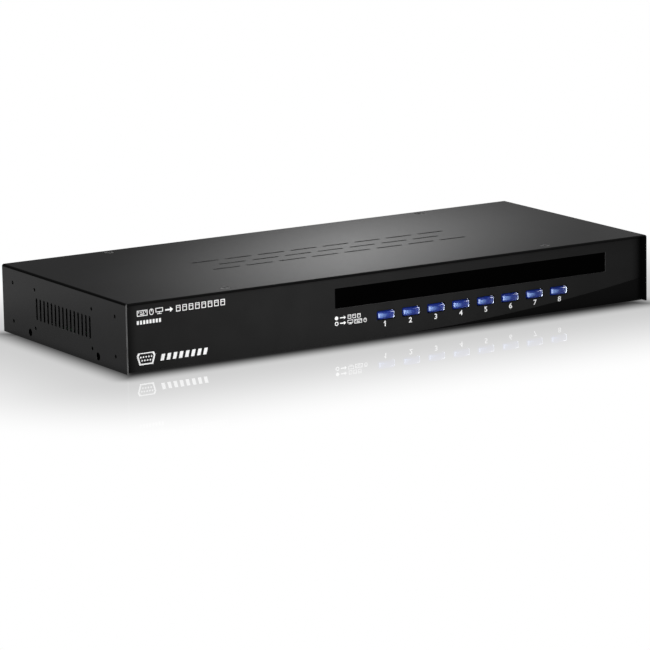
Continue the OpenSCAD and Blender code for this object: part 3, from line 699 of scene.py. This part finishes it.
def print_icons():
    """Plain pictograms where the panel has its lines of print."""
    line = InkAndShadow()
    line.keyboard(-185, 34.3, 7.4, 4.6)
    line.mouse(-176.3, 34.3, 2.9, 3.9)
    line.monitor(-172, 34.3, 5.2, 3.9)
    line.arrow(-165.2, 36.2, 5.4, 3.4)
    for i in range(PORTS):
        line.tower(-157.6 + i * 4.5, 34.3, 3.1, 3.9)
    line.build("print_what_it_joins", WHITE_INK, PANEL_Y)

    squares = InkAndShadow()
    for i in range(PORTS):
        squares.bar(-185.2 + i * 2.2, 29.2, -183.8 + i * 2.2, 31.6)
    squares.build("print_eight_squares", WHITE_INK, PANEL_Y)

    mark = InkAndShadow()
    mark.socket(-179.4, 7.6, 13, 7.6, 1.25)
    for row, count in enumerate((4, 5)):
        for i in range(count):
            mark.disc(-179.4 + (i - (count - 1) / 2) * 1.9, 6.6 + row * 2.1, 0.55)
    mark.build("print_socket_mark", WHITE_INK, PANEL_Y)

    bars = InkAndShadow()
    for i in range(PORTS):
        left = -169.5 + i * 4.3
        bars.polygon([(left, 5.0), (left + 2.4, 5.0), (left + 3.5, 9.1), (left + 1.1, 9.1)])
    bars.build("print_slanted_bars", WHITE_INK, PANEL_Y)

    key = InkAndShadow()
    key.disc(-42.4, 16.0, 1.25)
    key.ring(-42.4, 12.5, 1.35, 0.55)
    for low, height in ((14.7, 2.6), (11.1, 2.8)):
        key.arrow(-39.9, low + height / 2, 4.4, 2.5)
    for i in range(3):
        key.tower(-34.1 + 3.5 * i, 14.7, 2.5, 2.6)
    key.monitor(-34.3, 11.1, 4.1, 2.8)
    key.keyboard(-29.2, 11.1, 5.6, 3.4)
    key.mouse(-22.4, 11.1, 2.3, 2.8)
    key.build("print_lamp_key", WHITE_INK, PANEL_Y)


def print_rear_icons():
    """Pictograms over the sockets on the rear wall, and round the power inlet its polarity."""
    rear = InkAndShadow()
    console = -(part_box("video_port_shells")[0].x + PORT_WIDTH / 2) / MM
    rear.monitor(console - 3, 22.9, 6, 4.4)
    for node, draw in (("keyboard_socket", rear.keyboard), ("mouse_socket", rear.mouse)):
        low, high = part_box(node)
        middle = (low.z + high.z) / 2 / MM - CASE_BOTTOM / MM
        width = 6.6 if node == "keyboard_socket" else 2.9
        draw(-high.x / MM - 1.4 - width, middle - 2, width, 4)
    low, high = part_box("usb_shell")
    rear.keyboard(-high.x / MM, 25.6, 6.6, 4.2)
    rear.mouse(-high.x / MM + 8.4, 25.6, 2.9, 4)
    low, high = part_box("power_jack_housing")
    middle = -(low.x + high.x) / 2 / MM
    rear.bar(middle - 3, 25.2, middle + 3, 25.7)
    for i in range(3):
        rear.bar(middle - 3 + 2.3 * i, 24.0, middle - 1.6 + 2.3 * i, 24.5)
    rear.build("print_rear_icons", WHITE_INK, REAR_Y, 1)


# ---------------------------------------------------------------- stage, light and camera
def wide_plane(name, centre, across, up, size, material):
    """A flat staged card of size (width, height), facing across x up."""
    shape = bmesh.new()
    across, up = Vector(across).normalized(), Vector(up).normalized()
    corners = [(-1, -1), (1, -1), (1, 1), (-1, 1)]
    shape.faces.new([shape.verts.new(across * a * size[0] / 2 + up * b * size[1] / 2) for a, b in corners])
    mesh = bpy.data.meshes.new(name)
    shape.to_mesh(mesh)
    shape.free()
    card = bpy.data.objects.new(name, mesh)
    card.location = centre
    card.data.materials.append(material)
    bpy.context.scene.collection.objects.link(card)
    return card


FLOOR_SIZE = 12.0
FLOOR_LEVEL = 0.88
FLOOR_MIRROR_REACH = 0.165
FLOOR_MIRROR_FROM = 0.06
FLOOR_GLOSS = 0.012
FLOOR_LIGHT = 0.35
# Painted contact shadow in the floor's glow round the case's foot: where it starts and ends, and its darkest
# level
CONTACT_SHADOW_START = -0.01
CONTACT_SHADOW_REACH = 0.017
CONTACT_SHADOW_LEVEL = 0.02


def make_floor():
    """White table top: it mirrors the case near it, is plain white further off, and is clear from below. Its
    glow is darkened round the case's foot as a painted contact shadow.
    """
    look = Recipe("white_floor", staged=True)
    x, y = look.axes()[:2]
    middle = (CASE_LOW.y + CASE_HIGH.y) / 2
    aside = look.math("SUBTRACT", look.math("ABSOLUTE", x), CASE_HIGH.x)
    from_middle = look.math("ABSOLUTE", look.math("SUBTRACT", y, middle))
    ahead = look.math("SUBTRACT", from_middle, CASE_HIGH.y - middle)
    squares = [look.math("POWER", look.math("MAXIMUM", away, 0.0), 2.0) for away in (aside, ahead)]
    far = look.math("SQRT", look.math("ADD", *squares))
    signed = look.math("ADD", far, look.math("MINIMUM", look.math("MAXIMUM", aside, ahead), 0.0))
    # painted contact shadow: the glow dims close to the case
    level = look.between(signed, CONTACT_SHADOW_START, CONTACT_SHADOW_REACH, CONTACT_SHADOW_LEVEL, FLOOR_LEVEL, smooth=True)
    rays = look.node("ShaderNodeLightPath")
    dimmed = look.between(rays.outputs["Is Diffuse Ray"], 0.0, 1.0, 1.0, FLOOR_LIGHT)
    near = look.node("ShaderNodeEmission", {"Strength": look.math("MULTIPLY", level, dimmed)})
    mirror = look.node("ShaderNodeBsdfGlossy", {"Color": grey(1.0), "Roughness": FLOOR_GLOSS})
    fresnel = look.node("ShaderNodeFresnel", {"IOR": 1.5})
    share = look.between(fresnel.outputs[0], FLOOR_MIRROR_FROM, 0.5, 0.0, 0.5)
    glossy = look.node("ShaderNodeMixShader", {0: share, 1: near.outputs[0], 2: mirror.outputs[0]})
    plain = look.node("ShaderNodeEmission", {"Strength": dimmed})
    fade = look.between(far, 0.0, FLOOR_MIRROR_REACH, smooth=True)
    mix = look.node("ShaderNodeMixShader", {0: fade, 1: glossy.outputs[0], 2: plain.outputs[0]})
    below = look.node("ShaderNodeNewGeometry").outputs["Backfacing"]
    clear = look.node("ShaderNodeBsdfTransparent")
    surface = look.node("ShaderNodeMixShader", {0: below, 1: mix.outputs[0], 2: clear.outputs[0]})
    look.node("ShaderNodeOutputMaterial", {"Surface": surface.outputs[0]})
    place, size = (0, 0, cad_box[0].z), (FLOOR_SIZE, FLOOR_SIZE)
    return wide_plane("floor", place, (1, 0, 0), (0, 1, 0), size, look.material)


EVEN = (1e6, 1e6, 1e6)


def glowing(name, lobes):
    """An emitter's material: lobes are (strength, middle, spread), each dying off over its spread."""
    look = Recipe(name, staged=True)
    total = 0.0
    for strength, middle, spread in lobes:
        values = {"Vector": look.place, "Location": middle}
        placed = look.node("ShaderNodeMapping", values, vector_type="TEXTURE")
        values = {"Vector": placed.outputs[0], "Scale": [1 / s for s in spread]}
        shrunk = look.node("ShaderNodeMapping", values)
        values = {"Vector": shrunk.outputs[0]}
        ball = look.node("ShaderNodeTexGradient", values, gradient_type="QUADRATIC_SPHERE")
        total = look.math("MULTIPLY_ADD", ball.outputs["Fac"], strength, total)
    glow = look.node("ShaderNodeEmission", {"Strength": total})
    look.node("ShaderNodeOutputMaterial", {"Surface": glow.outputs[0]})
    return look.material


def only_lights(lamp, name, receivers, blockers=None):
    """Limits a lamp or a glowing card to a few receivers, and to shadows from the blockers or from them."""
    groups = []
    for things in (receivers, blockers or receivers):
        group = bpy.data.collections.new(name)
        for thing in things:
            group.objects.link(thing)
        groups.append(group)
    lamp.light_linking.receiver_collection, lamp.light_linking.blocker_collection = groups


def sheen_sun(name, azimuth, elevation, spread, strength, colour, receivers):
    """A broad distant light, seen only in the receivers' gloss. Azimuth 0 is ahead of the panel."""
    data = bpy.data.lights.new(name, "SUN")
    data.angle = math.radians(spread)
    data.energy = strength
    data.color = colour
    turn, rise = math.radians(azimuth), math.radians(elevation)
    towards = Vector((math.sin(turn) * math.cos(rise), -math.cos(turn) * math.cos(rise), math.sin(rise)))
    lamp = bpy.data.objects.new(name, data)
    lamp.rotation_mode = "QUATERNION"
    lamp.rotation_quaternion = (-towards).to_track_quat("-Z", "Y")
    lamp.visible_diffuse = False
    bpy.context.scene.collection.objects.link(lamp)
    only_lights(lamp, name + "_receivers", receivers)
    return lamp


def softbox(name, place, aim, size, watts, receivers=None, blockers=None, glossy=True):
    """A rectangular lamp. It lights everything unless it is given receivers, and is seen in gloss or not."""
    data = bpy.data.lights.new(name, "AREA")
    data.shape = "RECTANGLE"
    data.size, data.size_y = size
    data.energy = watts
    lamp = bpy.data.objects.new(name, data)
    lamp.location = place
    lamp.rotation_mode = "QUATERNION"
    lamp.rotation_quaternion = (Vector(aim) - Vector(place)).to_track_quat("-Z", "Y")
    lamp.visible_camera = False
    lamp.visible_glossy = glossy
    bpy.context.scene.collection.objects.link(lamp)
    if receivers:
        only_lights(lamp, name + "_receivers", receivers, blockers)
    return lamp


# The sine of the height above the horizon, and the studio's brightness there
WORLD_LEVELS = [(0.0, 0.075), (0.22, 0.075), (0.32, 0.02), (0.75, 0.03), (0.95, 0.35)]


def make_world():
    """White to the camera; to everything else a studio that is dim behind and lighter overhead."""
    world = bpy.data.worlds.new("studio")
    bpy.context.scene.world = world
    world.use_nodes = True
    tree = world.node_tree
    seen = tree.nodes["Background"]
    seen.inputs["Color"].default_value = grey(1.0)
    lit = tree.nodes.new("ShaderNodeBackground")
    place = tree.nodes.new("ShaderNodeTexCoord")
    axes = tree.nodes.new("ShaderNodeSeparateXYZ")
    tree.links.new(place.outputs["Generated"], axes.inputs[0])
    rise = tree.nodes.new("ShaderNodeValToRGB")
    ramp = rise.color_ramp.elements
    ramp[0].position, ramp[0].color = WORLD_LEVELS[0][0], grey(WORLD_LEVELS[0][1])
    ramp[1].position, ramp[1].color = WORLD_LEVELS[-1][0], grey(WORLD_LEVELS[-1][1])
    for height, level in WORLD_LEVELS[1:-1]:
        ramp.new(height).color = grey(level)
    tree.links.new(axes.outputs["Z"], rise.inputs[0])
    tree.links.new(rise.outputs[0], lit.inputs["Color"])
    rays = tree.nodes.new("ShaderNodeLightPath")
    mix = tree.nodes.new("ShaderNodeMixShader")
    tree.links.new(rays.outputs["Is Camera Ray"], mix.inputs[0])
    tree.links.new(lit.outputs[0], mix.inputs[1])
    tree.links.new(seen.outputs[0], mix.inputs[2])
    tree.links.new(mix.outputs[0], tree.nodes["World Output"].inputs["Surface"])


# The lights in the caps' gloss: azimuth, elevation, spread, strength and colour
CAP_LIGHTS = {
    "cap_left": (-62, 0, 50, 20, (0.7, 0.86, 1.0)),
    "cap_near_left": (-16, -2, 50, 17, (0.62, 0.82, 1.0)),
    "cap_glow": (12, -8, 30, 2.2, (0.45, 0.75, 1.0)),
    "cap_right": (98, -8, 66, 22, (0.78, 0.88, 1.0)),
    "cap_spot": (72, 30, 24, 6, (1.0, 1.0, 1.0)),
}


def make_lights(floor, caps):
    """Lamps, a card whose glow the top mirrors, a wall that the floor mirrors, and the caps' lights."""
    cover = [frame["nodes"]["top_cover"]]
    whole = [thing for thing in bpy.data.objects if thing.type == "MESH" and thing != floor]
    rest = [thing for thing in whole if thing not in cover]
    softbox("overhead", (0.1, 0.1, 1.6), (0, 0, 0), (1.8, 1.8), 26)
    softbox("far_left", (-2.0, -1.3, 1.1), (0, 0, 0), (1.2, 1.2), 20, glossy=False)
    softbox("key", (-0.05, -0.28, 0.12), (-0.05, -0.08, 0.02), (0.2, 0.1), 0.72, glossy=False)
    softbox("left_fill", (-0.85, -0.5, 0.08), (-0.19, 0, 0.02), (0.5, 0.5), 2.4, cover, glossy=False)
    softbox("right_fill", (0.95, -0.1, 0.08), (0.19, 0, 0.02), (0.5, 0.5), 2.0, cover, glossy=False)
    softbox("rear_fill", (0.2, 1.1, 0.6), (0, 0, 0.02), (1.2, 0.6), 24, rest, whole)
    softbox("under_fill", (0, 0, -1.0), (0, 0, 0), (1.0, 1.0), 14, rest, whole, glossy=False)
    glossy_card = wide_plane(
        "card_behind", (0.345, 0.53, 0.168), (1, 0, 0), (0, 0, 1), (1.7, 0.5),
        glowing("card_glow", [(2.0, (0, 0, 0), (0.27, 1, 0.05)), (0.62, (0.96, 0, 0), (1.19, 1, 0.6)),
                              (0.1, (0, 0, 0), EVEN)]))
    glossy_card.visible_camera = False
    glossy_card.visible_diffuse = False
    only_lights(glossy_card, "card_receivers", [frame["nodes"]["top_cover"], frame["nodes"]["cover_screws"]])
    wall = wide_plane("white_wall", (1.2, 2.2, 0.75), (1, -0.6, 0), (0, 0, 1), (5, 1.6),
                     glowing("wall_glow", [(1.4, (0, 0, 0), EVEN)]))
    wall.visible_camera = False
    wall.visible_diffuse = False
    only_lights(wall, "wall_receivers", [floor])
    for name, values in CAP_LIGHTS.items():
        sheen_sun(name, *values, caps)


def make_camera():
    """The camera turns about a point near the middle of the case's foot."""
    pitch, yaw = CAMERA_PITCH, CAMERA_YAW
    back = Vector((-math.sin(yaw) * math.cos(pitch), -math.cos(yaw) * math.cos(pitch), math.sin(pitch)))
    level_right = (-back).cross(Vector((0, 0, 1))).normalized()
    level_up = level_right.cross(-back)
    right = math.cos(CAMERA_ROLL) * level_right + math.sin(CAMERA_ROLL) * level_up
    up = -math.sin(CAMERA_ROLL) * level_right + math.cos(CAMERA_ROLL) * level_up
    aim = Vector((0, CASE_LOW.y, CASE_BOTTOM))
    data = bpy.data.cameras.new("camera")
    data.lens = CAMERA_LENS
    data.sensor_width = SENSOR
    camera = bpy.data.objects.new("camera", data)
    turn = Matrix((right, up, back)).transposed().to_4x4()
    place = aim + back * CAMERA_DISTANCE + right * CAMERA_ASIDE + up * CAMERA_RISE
    camera.matrix_world = Matrix.Translation(place) @ turn
    bpy.context.scene.collection.objects.link(camera)
    bpy.context.scene.camera = camera


# ---------------------------------------------------------------- the whole scene
dress_cad_nodes()
caps = make_buttons()
print_digits()
print_dark_zone()
print_dark_border()
print_icons()
print_rear_icons()
make_camera()
make_world()
make_lights(make_floor(), caps)
bpy.context.scene.view_settings.view_transform = "Standard"
